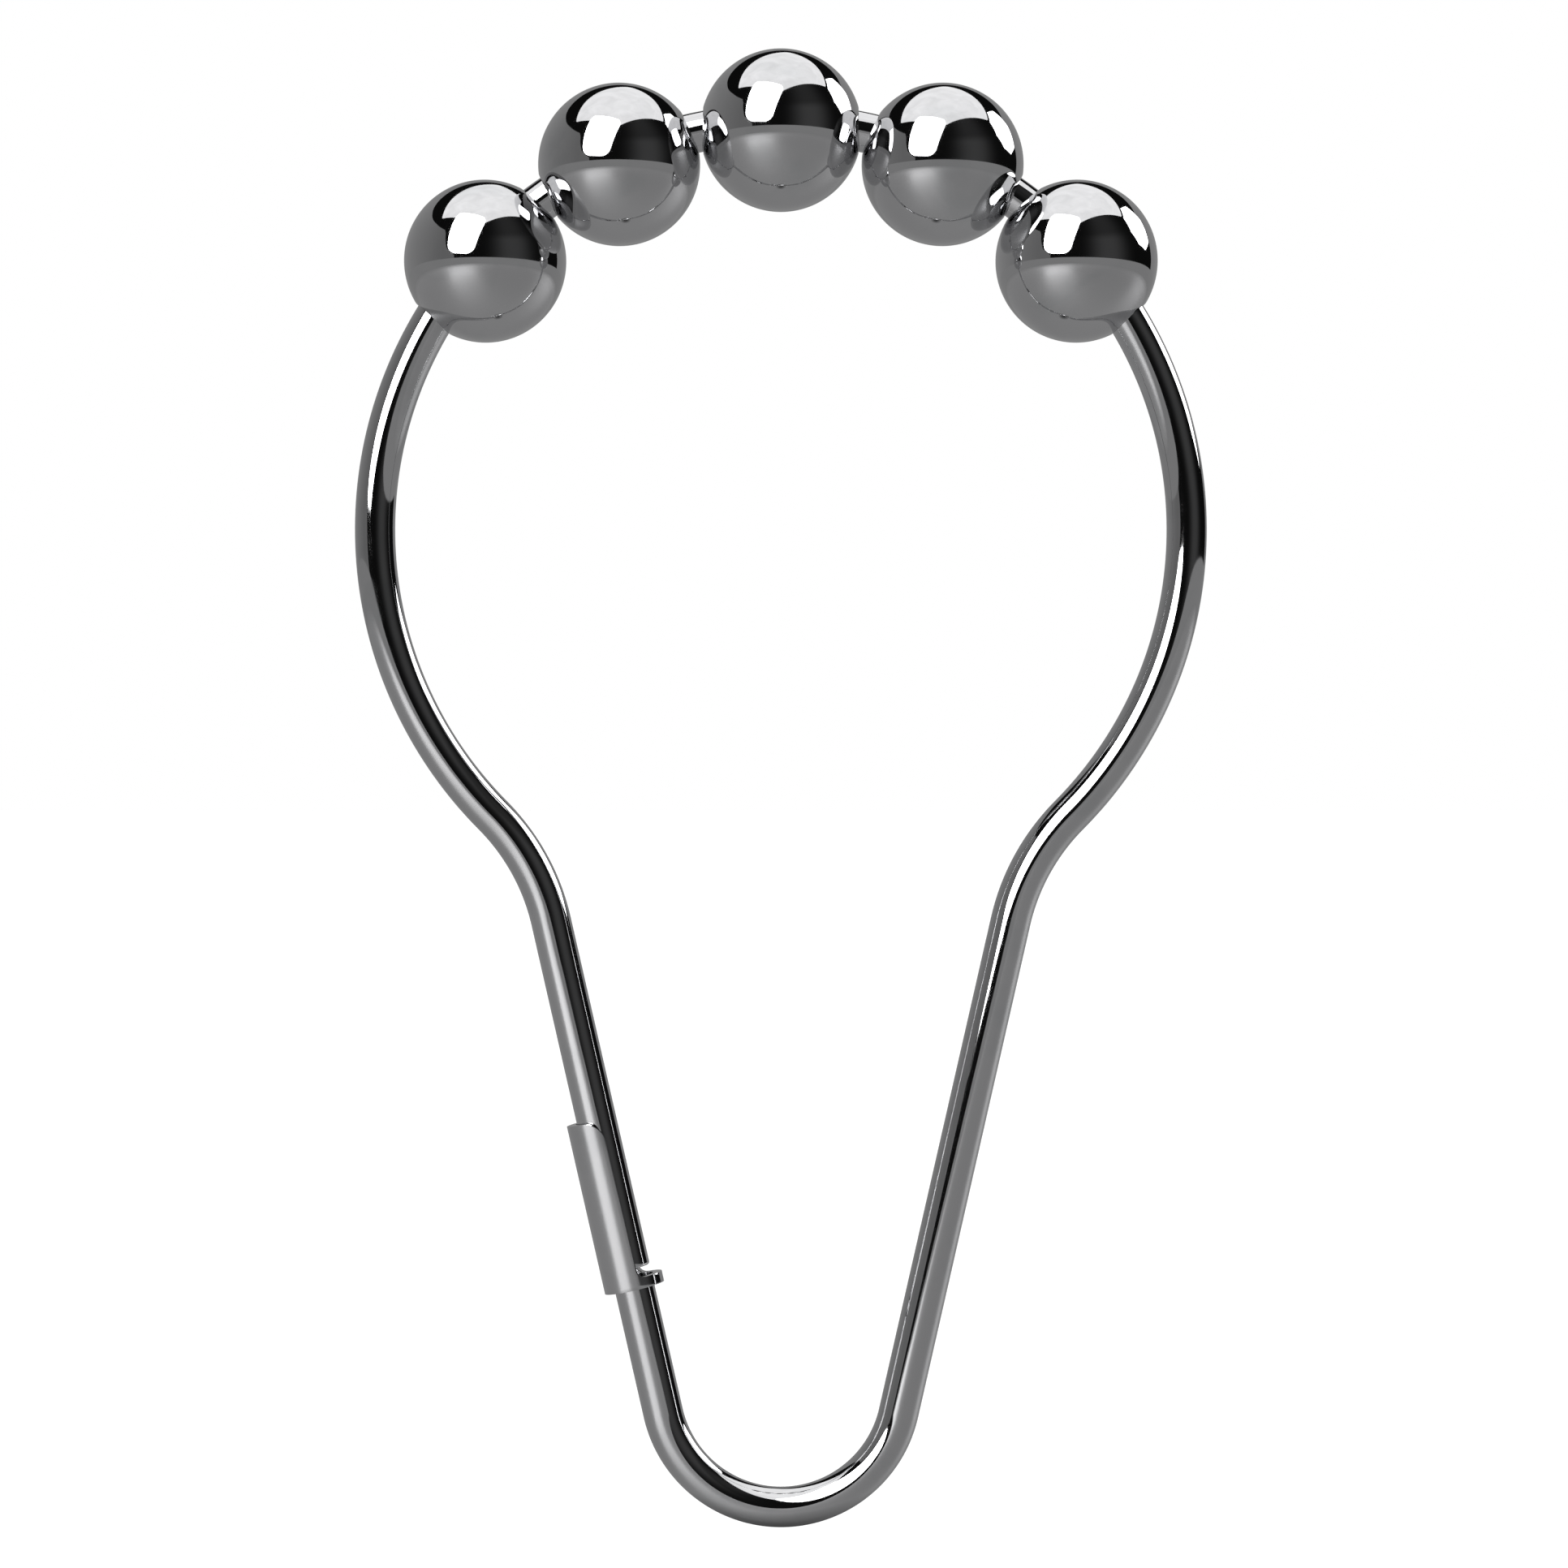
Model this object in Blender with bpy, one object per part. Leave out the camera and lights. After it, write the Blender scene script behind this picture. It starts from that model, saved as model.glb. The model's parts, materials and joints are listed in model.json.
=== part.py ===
"""A shower curtain hook: a bent wire ring, five roller balls on its round top and a clasp on one leg.

The wire lies in the XZ plane, and +Z is up. The origin is the underside of the middle ball, where the
curtain rod carries the hook.
"""

import math

import bmesh
import bpy
from mathutils import Matrix, Vector

MM = 0.001

# Wire
WIRE_DIAMETER = 2.2 * MM
ARC_RADIUS = 22.2 * MM
ARC_DROP = math.radians(44.8)  # how far the round top runs on below its widest place
SHOULDER_RADIUS = 12.0 * MM
LEG_LENGTH = 27.595 * MM  # the straight stretch from the shoulder to the bottom bend
BEND_RADIUS = 6.6 * MM
WIRE_END_CHAMFER = 0.12 * MM

# Roller balls, pressed as thin shells with an eye at each end
BALL_DIAMETER = 8.86 * MM
BALL_WALL = 0.35 * MM
BALL_COUNT = 5
BALL_GAP = 0.18 * MM  # between neighbouring balls
EYE_CLEARANCE = 0.15 * MM  # between the wire and the eye's edge

# Stops pinched into the wire inside the two end balls
STOP_WIDTH = 3.2 * MM
STOP_LENGTH = 1.5 * MM
STOP_SETBACK = 1.15 * MM  # from the eye to the middle of the stop

# Clasp sleeve on the left leg: an open trough above, a closed ring below
SLEEVE_CLEARANCE = 0.06 * MM  # between the wire and the bore
SLEEVE_WALL = 0.5 * MM
SLEEVE_LENGTH = 9.4 * MM
SLEEVE_DROP = 11.14 * MM  # from the end of the shoulder down to the top of the sleeve
RING_HEIGHT = 0.58 * MM
MOUTH_OFFSET = 0.4 * MM  # how far the trough's edges stand past the middle of the wire
MOUTH_ROUND = 1.25 * MM
HEEL_ROUND = 0.45 * MM
FREE_END_GAP = 0.5 * MM  # from the ring up to the wire's free end
FIXED_END_SETBACK = 0.1 * MM  # from the ring's rim down to the wire's other end

# Facets
WIRE_SIDES = 14
ARC_STEP = math.radians(5)
BEND_STEP = math.radians(10)
STOP_STEPS = 5
BALL_SIDES = 24
BALL_OUTER_STEPS = 14
BALL_INNER_STEPS = 6
LIP_STEPS = 3
SLEEVE_SIDES = 36
ROUND_STEPS = 6
MERGE_DISTANCE = 1e-7
SHARP_ANGLE = math.radians(35)

# Plating, the same on every piece
CHROME_COLOUR = (0.62, 0.62, 0.63, 1)
WIRE_ROUGHNESS = 0.09
BALL_ROUGHNESS = 0.05
SLEEVE_ROUGHNESS = 0.1

# Worked out from the sizes above
WIRE_RADIUS = WIRE_DIAMETER / 2
BALL_RADIUS = BALL_DIAMETER / 2
LIP_RADIUS = BALL_WALL / 2
LIP_OFFSET = WIRE_RADIUS + EYE_CLEARANCE + LIP_RADIUS  # from the ball's axis to the middle of its lip
EYE_REACH = math.sqrt((BALL_RADIUS - LIP_RADIUS) ** 2 - LIP_OFFSET**2)  # from the ball's middle
BALL_CIRCLE = math.sqrt(ARC_RADIUS**2 - EYE_REACH**2)  # puts the wire in the middle of each eye
BALL_STEP = 2 * math.asin((BALL_RADIUS + BALL_GAP / 2) / BALL_CIRCLE)
END_BALL = BALL_STEP * (BALL_COUNT - 1) / 2
ARC_CENTRE = Vector((0, 0, BALL_RADIUS - BALL_CIRCLE))
STOP_PLACE = END_BALL - math.asin((EYE_REACH - STOP_SETBACK) / ARC_RADIUS)
STOP_TURN = STOP_LENGTH / ARC_RADIUS
SLEEVE_BORE = WIRE_RADIUS + SLEEVE_CLEARANCE
SLEEVE_RADIUS = SLEEVE_BORE + SLEEVE_WALL
SLEEVE_END = SLEEVE_DROP + SLEEVE_LENGTH  # down the leg, as the wire's two ends are
FREE_END = SLEEVE_END - RING_HEIGHT - FREE_END_GAP
FIXED_END = SLEEVE_END - RING_HEIGHT + FIXED_END_SETBACK


def in_plane(length, angle):
    """A vector in the wire's plane, at this angle from straight up, towards +X."""
    return Vector((math.sin(angle), 0, math.cos(angle))) * length


SHOULDER_CENTRE = ARC_CENTRE + in_plane(ARC_RADIUS + SHOULDER_RADIUS, -math.pi / 2 - ARC_DROP)
BEND_REACH = math.hypot(SHOULDER_RADIUS + BEND_RADIUS, LEG_LENGTH)  # between the two bends' centres
BEND_BEARING = math.atan2(LEG_LENGTH, SHOULDER_RADIUS + BEND_RADIUS)
LEG_TILT = BEND_BEARING - math.acos(-SHOULDER_CENTRE.x / BEND_REACH)  # brings both legs to one bend
DOWN_LEG = in_plane(1, math.pi - LEG_TILT)
LEG_TOP = SHOULDER_CENTRE + in_plane(SHOULDER_RADIUS, math.pi / 2 - LEG_TILT)


def chrome(name, roughness):
    """A chrome plating."""
    material = bpy.data.materials.new(name)
    material.use_nodes = True
    shader = material.node_tree.nodes["Principled BSDF"]
    shader.inputs["Base Color"].default_value = CHROME_COLOUR
    shader.inputs["Metallic"].default_value = 1
    shader.inputs["Roughness"].default_value = roughness
    return material


def mesh_of(shape, name, material):
    """A smooth-shaded mesh of a closed bmesh."""
    bmesh.ops.remove_doubles(shape, verts=shape.verts, dist=MERGE_DISTANCE)
    bmesh.ops.recalc_face_normals(shape, faces=shape.faces)
    mesh = bpy.data.meshes.new(name)
    shape.to_mesh(mesh)
    shape.free()
    mesh.materials.append(material)
    mesh.shade_smooth()
    mesh.set_sharp_from_angle(angle=SHARP_ANGLE)
    return mesh


def add_object(name, mesh, place, turn):
    """An object in the scene, turned about Y and then moved to its place."""
    thing = bpy.data.objects.new(name, mesh)
    thing.location = place
    thing.rotation_euler = (0, turn, 0)
    bpy.context.scene.collection.objects.link(thing)
    return thing


class WireBender:
    """Feeds and bends round wire in the XZ plane, as the machine that makes such a hook does."""

    def __init__(self, place, heading):
        self.shape = bmesh.new()
        self.place = place
        self.heading = heading
        start = bmesh.ops.create_circle(
            self.shape,
            segments=WIRE_SIDES,
            radius=WIRE_RADIUS - WIRE_END_CHAMFER,
            matrix=Matrix.Translation(place) @ heading.to_track_quat("Z", "Y").to_matrix().to_4x4(),
        )
        self.ring = start["verts"]
        bmesh.ops.contextual_create(self.shape, geom=self.rim())
        self.feed(WIRE_END_CHAMFER)
        self.set_radius(WIRE_RADIUS)

    def rim(self):
        """The edges round the wire's open end."""
        corners = set(self.ring)
        return [edge for edge in self.shape.edges if corners.issuperset(edge.verts)]

    def set_radius(self, radius):
        """Draws the open end in or out."""
        for corner in self.ring:
            corner.co = self.place + (corner.co - self.place).normalized() * radius

    def feed(self, length):
        """Adds a straight stretch."""
        made = bmesh.ops.extrude_edge_only(self.shape, edges=self.rim())
        self.ring = [item for item in made["geom"] if isinstance(item, bmesh.types.BMVert)]
        bmesh.ops.translate(self.shape, verts=self.ring, vec=self.heading * length)
        self.place = self.place + self.heading * length

    def bend(self, radius, angle, steps):
        """Adds a bend, which turns right for an angle above zero and left for one below."""
        right = Vector((self.heading.z, 0, -self.heading.x))
        centre = self.place + right * math.copysign(radius, angle)
        made = bmesh.ops.spin(
            self.shape, geom=self.rim(), cent=centre, axis=(0, 1, 0), angle=angle, steps=steps
        )
        self.ring = [item for item in made["geom_last"] if isinstance(item, bmesh.types.BMVert)]
        turn = Matrix.Rotation(angle, 3, "Y")
        self.place = centre + turn @ (self.place - centre)
        self.heading = turn @ self.heading

    def cut(self):
        """Ends the wire with a chamfer and a flat face."""
        self.feed(WIRE_END_CHAMFER)
        self.set_radius(WIRE_RADIUS - WIRE_END_CHAMFER)
        bmesh.ops.contextual_create(self.shape, geom=self.rim())


def pinch_stop(shape, middle):
    """Flattens the wire about one place on its round top: wider across, and thinner by as much."""
    for corner in shape.verts:
        away = corner.co - ARC_CENTRE
        angle = math.atan2(away.x, away.z)
        off_middle = abs(angle - middle) / (STOP_TURN / 2)
        across = Vector((away.x, 0, away.z)).length - ARC_RADIUS
        if off_middle >= 1 or abs(across) > WIRE_RADIUS + MERGE_DISTANCE:
            continue
        fullness = min(1, 2 * (1 - off_middle))
        spread = 1 + fullness * (STOP_WIDTH / WIRE_DIAMETER - 1)
        flat = in_plane(ARC_RADIUS + across / spread, angle)
        corner.co = ARC_CENTRE + flat + Vector((0, away.y * spread, 0))


def wire_frame(material):
    """One wire, from its end in the ring of the clasp round to its free end in the trough."""
    bender = WireBender(LEG_TOP + DOWN_LEG * FIXED_END, DOWN_LEG)
    bender.feed(LEG_LENGTH - FIXED_END - WIRE_END_CHAMFER)
    bottom_turn = math.pi - 2 * LEG_TILT
    bender.bend(BEND_RADIUS, -bottom_turn, round(bottom_turn / BEND_STEP))
    bender.feed(LEG_LENGTH)
    shoulder_turn = ARC_DROP - LEG_TILT
    shoulder_steps = round(shoulder_turn / ARC_STEP)
    bender.bend(SHOULDER_RADIUS, shoulder_turn, shoulder_steps)
    side_turn = math.pi / 2 + ARC_DROP - STOP_PLACE - STOP_TURN / 2
    crown_turn = 2 * STOP_PLACE - STOP_TURN
    bender.bend(ARC_RADIUS, -side_turn, round(side_turn / ARC_STEP))
    bender.bend(ARC_RADIUS, -STOP_TURN, STOP_STEPS)
    bender.bend(ARC_RADIUS, -crown_turn, round(crown_turn / ARC_STEP))
    bender.bend(ARC_RADIUS, -STOP_TURN, STOP_STEPS)
    bender.bend(ARC_RADIUS, -side_turn, round(side_turn / ARC_STEP))
    bender.bend(SHOULDER_RADIUS, shoulder_turn, shoulder_steps)
    bender.feed(FREE_END - WIRE_END_CHAMFER)
    bender.cut()
    pinch_stop(bender.shape, STOP_PLACE)
    pinch_stop(bender.shape, -STOP_PLACE)
    return add_object("wire_frame", mesh_of(bender.shape, "wire_frame", material), (0, 0, 0), 0)


def arc_points(middle, radius, start, end, steps):
    """Points of an arc in the XZ plane. Angles run from +Z towards +X."""
    turn = (end - start) / steps
    return [middle + in_plane(radius, start + turn * step) for step in range(steps + 1)]


def add_loop(shape, points):
    """A closed loop of edges through these points."""
    corners = [shape.verts.new(point) for point in points]
    for first, second in zip(corners, corners[1:] + corners[:1]):
        shape.edges.new((first, second))
    return corners


def turned(points, sides):
    """A closed section turned once about Z."""
    shape = bmesh.new()
    add_loop(shape, points)
    bmesh.ops.spin(
        shape,
        geom=shape.verts[:] + shape.edges[:],
        cent=(0, 0, 0),
        axis=(0, 0, 1),
        angle=2 * math.pi,
        steps=sides,
        use_merge=True,
    )
    return shape


def ball_mesh(material):
    """A pressed ball: a thin round shell whose wall ends in a rounded lip at each eye. Its axis is Z."""
    lip_angle = math.atan2(LIP_OFFSET, EYE_REACH)
    far = math.pi - lip_angle
    top_lip = in_plane(BALL_RADIUS - LIP_RADIUS, lip_angle)
    low_lip = in_plane(BALL_RADIUS - LIP_RADIUS, far)
    centre = Vector((0, 0, 0))
    section = arc_points(centre, BALL_RADIUS, lip_angle, far, BALL_OUTER_STEPS)
    section += arc_points(low_lip, LIP_RADIUS, far, far + math.pi, LIP_STEPS)[1:-1]
    section += arc_points(centre, BALL_RADIUS - BALL_WALL, far, lip_angle, BALL_INNER_STEPS)
    section += arc_points(top_lip, LIP_RADIUS, lip_angle - math.pi, lip_angle, LIP_STEPS)[1:-1]
    return mesh_of(turned(section, BALL_SIDES), "ball", material)


def roller_balls(material):
    """The balls in a row over the top, each with its origin on its own axis along the wire."""
    mesh = ball_mesh(material)
    for number in range(BALL_COUNT):
        angle = BALL_STEP * number - END_BALL
        place = ARC_CENTRE + in_plane(BALL_CIRCLE, angle)
        add_object(f"ball_{number + 1}", mesh, place, angle + math.pi / 2)


def mouth_cutter(sleeve):
    """Cuts the trough open along its length, with a round at its top and another at the ring."""
    reach = 2 * SLEEVE_RADIUS
    over = SLEEVE_LENGTH + SLEEVE_RADIUS
    heel = Vector((MOUTH_OFFSET + HEEL_ROUND, 0, RING_HEIGHT + HEEL_ROUND))
    corner = Vector((MOUTH_OFFSET - MOUTH_ROUND, 0, SLEEVE_LENGTH - MOUTH_ROUND))
    outline = [Vector((reach, 0, RING_HEIGHT))]
    outline += arc_points(heel, HEEL_ROUND, math.pi, 1.5 * math.pi, ROUND_STEPS)
    outline += arc_points(corner, MOUTH_ROUND, math.pi / 2, 0, ROUND_STEPS)
    outline += [Vector((corner.x, 0, over)), Vector((reach, 0, over))]
    shape = bmesh.new()
    face = shape.faces.new(add_loop(shape, outline))
    bmesh.ops.translate(shape, verts=shape.verts, vec=(0, -reach, 0))
    side = bmesh.ops.extrude_face_region(shape, geom=[face], use_keep_orig=True)
    moved = [item for item in side["geom"] if isinstance(item, bmesh.types.BMVert)]
    bmesh.ops.translate(shape, verts=moved, vec=(0, 2 * reach, 0))
    cutter = add_object("mouth_cutter", mesh_of(shape, "mouth_cutter", sleeve.active_material), (0, 0, 0), 0)
    cutter.parent = sleeve
    cutter.hide_render = True
    cutter.display_type = "WIRE"
    return cutter


def clasp_sleeve(material):
    """The catch: its ring is fixed on one end of the wire, and its trough catches the other."""
    section = [
        Vector((SLEEVE_BORE, 0, 0)),
        Vector((SLEEVE_RADIUS, 0, 0)),
        Vector((SLEEVE_RADIUS, 0, SLEEVE_LENGTH)),
        Vector((SLEEVE_BORE, 0, SLEEVE_LENGTH)),
    ]
    mesh = mesh_of(turned(section, SLEEVE_SIDES), "clasp_sleeve", material)
    sleeve = add_object("clasp_sleeve", mesh, LEG_TOP + DOWN_LEG * SLEEVE_END, -LEG_TILT)
    mouth = sleeve.modifiers.new("mouth", "BOOLEAN")
    mouth.object = mouth_cutter(sleeve)


def main():
    for thing in list(bpy.data.objects):
        bpy.data.objects.remove(thing)
    wire_frame(chrome("wire_chrome", WIRE_ROUGHNESS))
    roller_balls(chrome("ball_chrome", BALL_ROUGHNESS))
    clasp_sleeve(chrome("sleeve_chrome", SLEEVE_ROUGHNESS))


main()
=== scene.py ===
# %% [markdown]
# # A shower curtain hook with roller balls
#
# One length of wire is bent into a pear-shaped ring. Five hollow balls are threaded on its round top and
# roll along the curtain rod. A small sleeve on the left leg catches the wire's free end. All of it is
# chrome plated, so most of what the eye sees on the hook is the studio round it.
#
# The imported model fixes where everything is. This lesson loads it, builds a finer piece over each of its
# solids, plates the pieces, and then sets up the studio and the camera. Lengths are in metres.

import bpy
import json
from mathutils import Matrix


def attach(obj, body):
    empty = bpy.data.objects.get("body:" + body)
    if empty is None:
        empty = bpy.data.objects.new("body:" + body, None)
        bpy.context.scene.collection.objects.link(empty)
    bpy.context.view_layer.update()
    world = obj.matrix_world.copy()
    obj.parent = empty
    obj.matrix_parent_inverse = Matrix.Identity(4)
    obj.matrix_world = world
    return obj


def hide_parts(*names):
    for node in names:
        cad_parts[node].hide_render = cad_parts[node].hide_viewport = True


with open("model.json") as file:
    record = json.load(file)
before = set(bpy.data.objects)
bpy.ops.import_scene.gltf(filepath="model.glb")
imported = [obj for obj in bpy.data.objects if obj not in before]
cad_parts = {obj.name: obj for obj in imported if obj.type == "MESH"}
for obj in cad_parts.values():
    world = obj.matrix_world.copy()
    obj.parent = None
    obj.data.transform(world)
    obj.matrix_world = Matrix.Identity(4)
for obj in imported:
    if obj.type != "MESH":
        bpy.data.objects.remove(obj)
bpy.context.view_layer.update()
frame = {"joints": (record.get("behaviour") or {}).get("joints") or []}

# %% Modules and the unit
import json
import math

import bmesh
import bpy
from mathutils import Matrix, Vector

MM = 0.001
print("Blender", bpy.app.version_string)

# %% [markdown]
# ## The plating
#
# Bright chrome is a thin, hard, faintly blue mirror. Up close it is never quite perfect: the plate has a
# very slight waviness, handling leaves soft smears that blur the mirror a little, and the drawn wire and
# the pressed shells under it leave fine parallel lines.
#
# All three finishes share these effects, so they are built once, as a node group that gives a roughness,
# a height and where the smears lie. The group could read Object coordinates, but the wire is bent and the
# balls are turned, and drawing lines follow the wire round its bends. So every piece keeps an attribute,
# own_space, which says where each point was before the piece was bent or placed, and the marks are laid
# out in that.
#
# Three short functions come first. Each puts one node into a tree, and the last two give its result.

# %% Nodes that every tree uses
def add_node(tree, kind, links=None, values=None, **settings):
    """A node with its settings, its input values and what feeds its inputs."""
    node = tree.nodes.new(kind)
    for name, value in settings.items():
        setattr(node, name, value)
    for name, value in (values or {}).items():
        node.inputs[name].default_value = value
    for name, source in (links or {}).items():
        tree.links.new(source, node.inputs[name])
    return node


def math_node(tree, operation, first, second=None, third=None):
    """The result of one operation on a value and one or two more values or numbers."""
    node = add_node(tree, "ShaderNodeMath", links={0: first}, operation=operation)
    for place, term in ((1, second), (2, third)):
        if isinstance(term, (int, float)):
            node.inputs[place].default_value = term
        elif term is not None:
            tree.links.new(term, node.inputs[place])
    return node.outputs["Value"]


def ramp(tree, value, start, end, start_value=0, end_value=1, ease="LINEAR", clamp=True):
    """A value that runs from one level to another."""
    node = add_node(
        tree, "ShaderNodeMapRange",
        links={"Value": value},
        values={"From Min": start, "From Max": end, "To Min": start_value, "To Max": end_value},
        interpolation_type=ease,
        clamp=clamp,
    )
    return node.outputs["Result"]


print("node tools are ready")

# %% The sockets of the plating marks
plating_marks = bpy.data.node_groups.new("plating marks", "ShaderNodeTree")
for socket, kind, direction in (
    ("Place", "NodeSocketVector", "INPUT"),
    ("Mirror Roughness", "NodeSocketFloat", "INPUT"),
    ("Smear Roughness", "NodeSocketFloat", "INPUT"),
    ("Line Roughness", "NodeSocketFloat", "INPUT"),
    ("Line Height", "NodeSocketFloat", "INPUT"),
    ("Roughness", "NodeSocketFloat", "OUTPUT"),
    ("Height", "NodeSocketFloat", "OUTPUT"),
    ("Smear", "NodeSocketFloat", "OUTPUT"),
):
    plating_marks.interface.new_socket(name=socket, in_out=direction, socket_type=kind)
print("plating marks:", len(plating_marks.interface.items_tree), "sockets")

# %% [markdown]
# Three noises make the marks. Their scales are in waves for each metre, so the smears are a few
# millimetres across and the drawing lines a few hundredths of a millimetre wide. A Mapping node draws the
# second noise out along Z, which is what makes lines of it. A smear or a line begins where its noise passes
# a first level and has its full strength at a second.

# %% Smears, lines and waves
SMEAR_SCALE = 260
SMEAR_LEVELS = (0.48, 0.72)
LINE_SCALE = 7000
LINE_STRETCH = 0.012
LINE_LEVELS = (0.55, 0.75)
WAVE_SCALE = 420


def build_plating_marks(tree):
    """Soft smears, fine lines along Z and the plate's slight waviness."""
    given = tree.nodes.new("NodeGroupInput").outputs
    smear_noise = add_node(
        tree, "ShaderNodeTexNoise",
        links={"Vector": given["Place"]},
        values={"Scale": SMEAR_SCALE, "Detail": 3, "Roughness": 0.55, "Distortion": 0.6},
    )
    smear = ramp(tree, smear_noise.outputs["Fac"], *SMEAR_LEVELS, ease="SMOOTHSTEP")
    drawn_out = add_node(
        tree, "ShaderNodeMapping",
        links={"Vector": given["Place"]},
        values={"Scale": (1, 1, LINE_STRETCH)},
    )
    line_noise = add_node(
        tree, "ShaderNodeTexNoise",
        links={"Vector": drawn_out.outputs["Vector"]},
        values={"Scale": LINE_SCALE, "Detail": 4, "Roughness": 0.7},
    )
    line = ramp(tree, line_noise.outputs["Fac"], *LINE_LEVELS)
    wave = add_node(
        tree, "ShaderNodeTexNoise",
        links={"Vector": given["Place"]},
        values={"Scale": WAVE_SCALE, "Detail": 1},
    )
    smeared = math_node(tree, "MULTIPLY_ADD", smear, given["Smear Roughness"], given["Mirror Roughness"])
    lined = math_node(tree, "MULTIPLY_ADD", line, given["Line Roughness"], smeared)
    height = math_node(
        tree, "MULTIPLY_ADD", line_noise.outputs["Fac"], given["Line Height"], wave.outputs["Fac"]
    )
    made = tree.nodes.new("NodeGroupOutput")
    for name, result in (("Roughness", lined), ("Height", height), ("Smear", smear)):
        tree.links.new(result, made.inputs[name])


build_plating_marks(plating_marks)
print("plating marks:", len(plating_marks.nodes), "nodes")

# %% [markdown]
# Each finish is one Principled shader with the group in front of it. The wire shows its drawing lines,
# the balls are the brightest mirror, and the sleeve, which is tumbled rather than polished, is the
# softest. The colour is chrome's own pale grey, a touch darker where a smear lies.

# %% Three platings
MICRON = 0.001 * MM
CHROME = (0.62, 0.62, 0.63, 1)
SMEARED_CHROME = (0.575, 0.58, 0.59, 1)


def plating(name, mirror, smear, line, line_height, wave_height):
    """A chrome plating with marks of its own strength."""
    material = bpy.data.materials.new(name)
    material.use_nodes = True
    tree = material.node_tree
    shader = tree.nodes["Principled BSDF"]
    shader.inputs["Metallic"].default_value = 1
    place = add_node(tree, "ShaderNodeAttribute", attribute_name="own_space")
    marks = add_node(tree, "ShaderNodeGroup", node_tree=plating_marks)
    tree.links.new(place.outputs["Vector"], marks.inputs["Place"])
    marks.inputs["Mirror Roughness"].default_value = mirror
    marks.inputs["Smear Roughness"].default_value = smear
    marks.inputs["Line Roughness"].default_value = line
    marks.inputs["Line Height"].default_value = line_height / wave_height
    tone = add_node(tree, "ShaderNodeMix", data_type="RGBA")
    tone.inputs["A"].default_value = CHROME
    tone.inputs["B"].default_value = SMEARED_CHROME
    tree.links.new(marks.outputs["Smear"], tone.inputs["Factor"])
    bump = add_node(
        tree, "ShaderNodeBump",
        links={"Height": marks.outputs["Height"]},
        values={"Distance": wave_height},
    )
    tree.links.new(tone.outputs["Result"], shader.inputs["Base Color"])
    tree.links.new(marks.outputs["Roughness"], shader.inputs["Roughness"])
    tree.links.new(bump.outputs["Normal"], shader.inputs["Normal"])
    return material


wire_plating = plating(
    "wire_plating", mirror=0.035, smear=0.035, line=0.015, line_height=0.2 * MICRON, wave_height=3 * MICRON
)
ball_plating = plating(
    "ball_plating", mirror=0.035, smear=0.03, line=0.015, line_height=0.1 * MICRON, wave_height=3 * MICRON
)
sleeve_plating = plating(
    "sleeve_plating", mirror=0.07, smear=0.06, line=0.03, line_height=0.3 * MICRON, wave_height=5 * MICRON
)
print("finishes:", wire_plating.name, ball_plating.name, sleeve_plating.name)

# %% [markdown]
# ## The wire
#
# The ring is one piece of drawn steel wire, 2.2 mm thick, which a machine feeds and bends. It could be a
# curve with a round bevel, but the mesh would then be thickest in faces on its straight legs and the
# section could not be pinched. Building it as the machine does keeps each bend true: a circle is pushed
# out one step at a time, and each new ring of corners is moved on or turned about the bend's middle.

# %% The sizes of the bends
def in_plane(length, angle):
    """A vector in the wire's plane, at this angle from straight up, towards +X."""
    return Vector((math.sin(angle), 0, math.cos(angle))) * length


WIRE_RADIUS = 1.1 * MM
ARC_RADIUS = 22.2 * MM
ARC_DROP = math.radians(44.8)
SHOULDER_RADIUS = 12.0 * MM
LEG_LENGTH = 27.595 * MM
BEND_RADIUS = 6.6 * MM

ball_joints = {joint["child"]: joint for joint in frame["joints"]}
ball_middle = {body: Vector(joint["pos_m"]) for body, joint in ball_joints.items()}
BALL_RADIUS = ball_middle["roller_3"].z
EYE_REACH = 4.009 * MM
ARC_CENTRE = Vector((0, 0, BALL_RADIUS - math.sqrt(ARC_RADIUS**2 - EYE_REACH**2)))
SHOULDER_CENTRE = ARC_CENTRE + in_plane(ARC_RADIUS + SHOULDER_RADIUS, -math.pi / 2 - ARC_DROP)
BEND_REACH = math.hypot(SHOULDER_RADIUS + BEND_RADIUS, LEG_LENGTH)
BEND_BEARING = math.atan2(LEG_LENGTH, SHOULDER_RADIUS + BEND_RADIUS)
LEG_TILT = BEND_BEARING - math.acos(-SHOULDER_CENTRE.x / BEND_REACH)
DOWN_LEG = in_plane(1, math.pi - LEG_TILT)
LEG_TOP = SHOULDER_CENTRE + in_plane(SHOULDER_RADIUS, math.pi / 2 - LEG_TILT)
print("each leg leans in by", round(math.degrees(LEG_TILT), 2), "degrees")

# %% [markdown]
# The bender keeps hold of the wire's open end: its place, its heading and its ring of corners. Feeding
# moves that ring straight on, and bending turns it about the middle of the bend. Each ring also notes
# where it was on the straight wire, which is where the drawing lines are laid out.

# %% Feed and bend
WIRE_SIDES = 48


def edges_among(corners):
    """The edges that join these corners, in a fixed order."""
    wanted = set(corners)
    found = {}
    for corner in corners:
        for edge in corner.link_edges:
            if wanted.issuperset(edge.verts):
                found[edge] = True
    return list(found)


def only_corners(geometry):
    """The corners in what an operator made."""
    return [item for item in geometry if isinstance(item, bmesh.types.BMVert)]


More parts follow.
